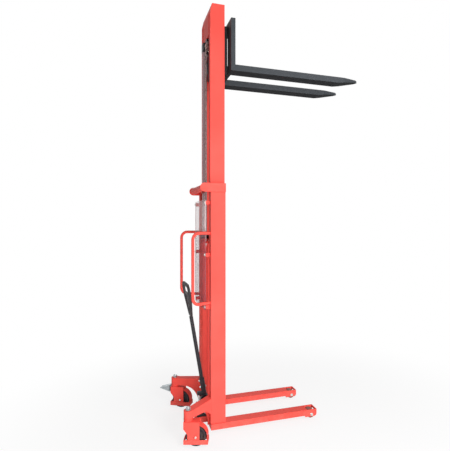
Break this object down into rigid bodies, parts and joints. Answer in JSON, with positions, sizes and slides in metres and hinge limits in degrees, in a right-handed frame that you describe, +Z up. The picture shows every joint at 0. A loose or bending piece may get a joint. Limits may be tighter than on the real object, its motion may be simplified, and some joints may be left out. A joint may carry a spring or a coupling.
{
  "type": "hand pallet stacker",
  "caption": "Manual hydraulic straddle stacker with a telescopic mast, lifting forks, pump lever, mesh guard, push handles and swivel casters, mast raised.",
  "frame": {"origin": "on the floor, under the middle of the overall length and width", "axes": "+X along the forks, +Y to the operator's left, +Z up"},
  "size_m": [1.5002, 0.8086, 3.074],
  "materials": {
    "red_paint": "glossy red enamel",
    "black_paint": "semi-gloss black",
    "machined_steel": "turned steel",
    "rod_chrome": "hard chrome",
    "zinc_bolt": "bright zinc plate",
    "chain_steel": "oiled steel",
    "nylon": "cast nylon",
    "wheel_black": "moulded nylon",
    "roller_brown": "dusty polyurethane",
    "grip_black": "moulded grip"
  },
  "bodies": {
    "chassis": {"outer_upright_right": "red_paint", "outer_upright_left": "red_paint", "mast_collar": "red_paint", "guide_pads": "nylon", "leg_right": "red_paint", "leg_left": "red_paint", "load_roller_axles": "zinc_bolt", "base_beam": "red_paint", "caster_arm_right": "red_paint", "caster_arm_left": "red_paint", "push_handle_right": "red_paint", "push_handle_left": "red_paint", "mesh_guard": "red_paint", "guard_brackets": "red_paint", "guard_bolts": "zinc_bolt", "cylinder_tube": "red_paint", "cylinder_gland": "black_paint", "chain_anchors": "red_paint", "pump_block": "black_paint", "lever_pin": "machined_steel"},
    "inner_mast": {"inner_upright_right": "red_paint", "inner_upright_left": "red_paint", "mast_roller_stubs": "machined_steel", "top_beam": "red_paint", "foot_beam": "red_paint", "lift_rod": "rod_chrome", "rod_crosshead": "black_paint", "sheave_axle": "machined_steel", "chain_rear": "chain_steel"},
    "carriage": {"carriage_plate_right": "black_paint", "carriage_plate_left": "black_paint", "fork_right": "black_paint", "fork_left": "black_paint", "carriage_roller_stubs": "machined_steel", "carriage_bar_upper": "black_paint", "carriage_bar_lower": "black_paint", "chain_clevis": "black_paint", "chain_front": "chain_steel"},
    "pump_lever": {"lever_socket": "black_paint", "lever_bar": "black_paint", "grip_loop": "grip_black"},
    "release_trigger": {"release_trigger": "machined_steel"},
    "pump_plunger": {"pump_plunger": "rod_chrome"},
    "chain_sheave_right": {"chain_sheave_right": "machined_steel"},
    "mast_roller_right": {"mast_roller_right": "machined_steel"},
    "carriage_roller_lower_right": {"carriage_roller_lower_right": "machined_steel"},
    "carriage_roller_upper_right": {"carriage_roller_upper_right": "machined_steel"},
    "caster_right": {"caster_yoke_right": "red_paint", "caster_axle_right": "zinc_bolt"},
    "caster_wheel_right": {"caster_wheel_right": "wheel_black"},
    "load_roller_right": {"load_roller_right": "roller_brown"},
    "chain_sheave_left": {"chain_sheave_left": "machined_steel"},
    "mast_roller_left": {"mast_roller_left": "machined_steel"},
    "carriage_roller_lower_left": {"carriage_roller_lower_left": "machined_steel"},
    "carriage_roller_upper_left": {"carriage_roller_upper_left": "machined_steel"},
    "caster_left": {"caster_yoke_left": "red_paint", "caster_axle_left": "zinc_bolt"},
    "caster_wheel_left": {"caster_wheel_left": "wheel_black"},
    "load_roller_left": {"load_roller_left": "roller_brown"},
    "brake_pedal": {"brake_pedal": "zinc_bolt"}
  },
  "joints": [
    {"name": "mast_lift", "type": "slide", "parent": "chassis", "child": "inner_mast", "axis": [0, 0, 1], "range_m": [-1.25, 0], "deforming": ["chain_rear"]},
    {"name": "carriage_lift", "type": "slide", "parent": "inner_mast", "child": "carriage", "axis": [0, 0, 1], "range_m": [-1.25, 0], "deforming": ["chain_front"]},
    {"name": "lever_swing", "type": "hinge", "parent": "chassis", "child": "pump_lever", "pos_m": [-0.46632, -0.06, 0.2], "axis": [0, -1, 0], "range_deg": [0, 45], "stiffness_Nm_per_rad": 20, "springref_deg": -20.05},
    {"name": "plunger_slide", "type": "slide", "parent": "chassis", "child": "pump_plunger", "axis": [0, 0, -1], "range_m": [0, 0.0456]},
    {"name": "trigger_tip", "type": "hinge", "parent": "pump_lever", "child": "release_trigger", "pos_m": [-0.57806, -0.06, 0.86062], "axis": [0, -1, 0], "range_deg": [0, 12], "stiffness_Nm_per_rad": 1, "springref_deg": -11.46},
    {"name": "sheave_spin_right", "type": "hinge", "parent": "inner_mast", "child": "chain_sheave_right", "pos_m": [-0.41992, -0.045, 2.804], "axis": [0, 1, 0], "continuous": true},
    {"name": "mast_roller_spin_right", "type": "hinge", "parent": "inner_mast", "child": "mast_roller_right", "pos_m": [-0.40192, -0.199, 1.396], "axis": [0, 1, 0], "continuous": true},
    {"name": "carriage_roller_spin_lower_right", "type": "hinge", "parent": "carriage", "child": "carriage_roller_lower_right", "pos_m": [-0.39292, -0.134, 2.706], "axis": [0, 1, 0], "continuous": true},
    {"name": "carriage_roller_spin_upper_right", "type": "hinge", "parent": "carriage", "child": "carriage_roller_upper_right", "pos_m": [-0.39292, -0.134, 2.91], "axis": [0, 1, 0], "continuous": true},
    {"name": "caster_swivel_right", "type": "hinge", "parent": "chassis", "child": "caster_right", "pos_m": [-0.63192, -0.325, 0.166], "axis": [0, 0, 1], "continuous": true},
    {"name": "caster_roll_right", "type": "hinge", "parent": "caster_right", "child": "caster_wheel_right", "pos_m": [-0.57964, -0.34209, 0.068], "axis": [0.3107, 0.9505, 0], "continuous": true},
    {"name": "load_roll_right", "type": "hinge", "parent": "chassis", "child": "load_roller_right", "pos_m": [0.32008, -0.195, 0.032], "axis": [0, 1, 0], "continuous": true},
    {"name": "sheave_spin_left", "type": "hinge", "parent": "inner_mast", "child": "chain_sheave_left", "pos_m": [-0.41992, 0.045, 2.804], "axis": [0, 1, 0], "continuous": true},
    {"name": "mast_roller_spin_left", "type": "hinge", "parent": "inner_mast", "child": "mast_roller_left", "pos_m": [-0.40192, 0.199, 1.396], "axis": [0, 1, 0], "continuous": true},
    {"name": "carriage_roller_spin_lower_left", "type": "hinge", "parent": "carriage", "child": "carriage_roller_lower_left", "pos_m": [-0.39292, 0.134, 2.706], "axis": [0, 1, 0], "continuous": true},
    {"name": "carriage_roller_spin_upper_left", "type": "hinge", "parent": "carriage", "child": "carriage_roller_upper_left", "pos_m": [-0.39292, 0.134, 2.91], "axis": [0, 1, 0], "continuous": true},
    {"name": "caster_swivel_left", "type": "hinge", "parent": "chassis", "child": "caster_left", "pos_m": [-0.63192, 0.325, 0.166], "axis": [0, 0, 1], "continuous": true},
    {"name": "caster_roll_left", "type": "hinge", "parent": "caster_left", "child": "caster_wheel_left", "pos_m": [-0.58336, 0.29918, 0.068], "axis": [0.4695, 0.8829, 0], "continuous": true},
    {"name": "load_roll_left", "type": "hinge", "parent": "chassis", "child": "load_roller_left", "pos_m": [0.32008, 0.195, 0.032], "axis": [0, 1, 0], "continuous": true},
    {"name": "pedal_tip", "type": "hinge", "parent": "caster_left", "child": "brake_pedal", "pos_m": [-0.64428, 0.33157, 0.127], "axis": [-0.4695, -0.8829, 0], "range_deg": [0, 11]}
  ],
  "couplings": [
    {"joint": "carriage_lift", "follows": "mast_lift", "ratio": 1},
    {"joint": "plunger_slide", "follows": "lever_swing", "m_per_rad": 0.0575},
    {"joint": "sheave_spin_right", "follows": "mast_lift", "rad_per_m": -28.571},
    {"joint": "mast_roller_spin_right", "follows": "mast_lift", "rad_per_m": -22.422},
    {"joint": "carriage_roller_spin_lower_right", "follows": "mast_lift", "rad_per_m": -22.422},
    {"joint": "carriage_roller_spin_upper_right", "follows": "mast_lift", "rad_per_m": 22.422},
    {"joint": "sheave_spin_left", "follows": "mast_lift", "rad_per_m": -28.571},
    {"joint": "mast_roller_spin_left", "follows": "mast_lift", "rad_per_m": -22.422},
    {"joint": "carriage_roller_spin_lower_left", "follows": "mast_lift", "rad_per_m": -22.422},
    {"joint": "carriage_roller_spin_upper_left", "follows": "mast_lift", "rad_per_m": 22.422}
  ]
}
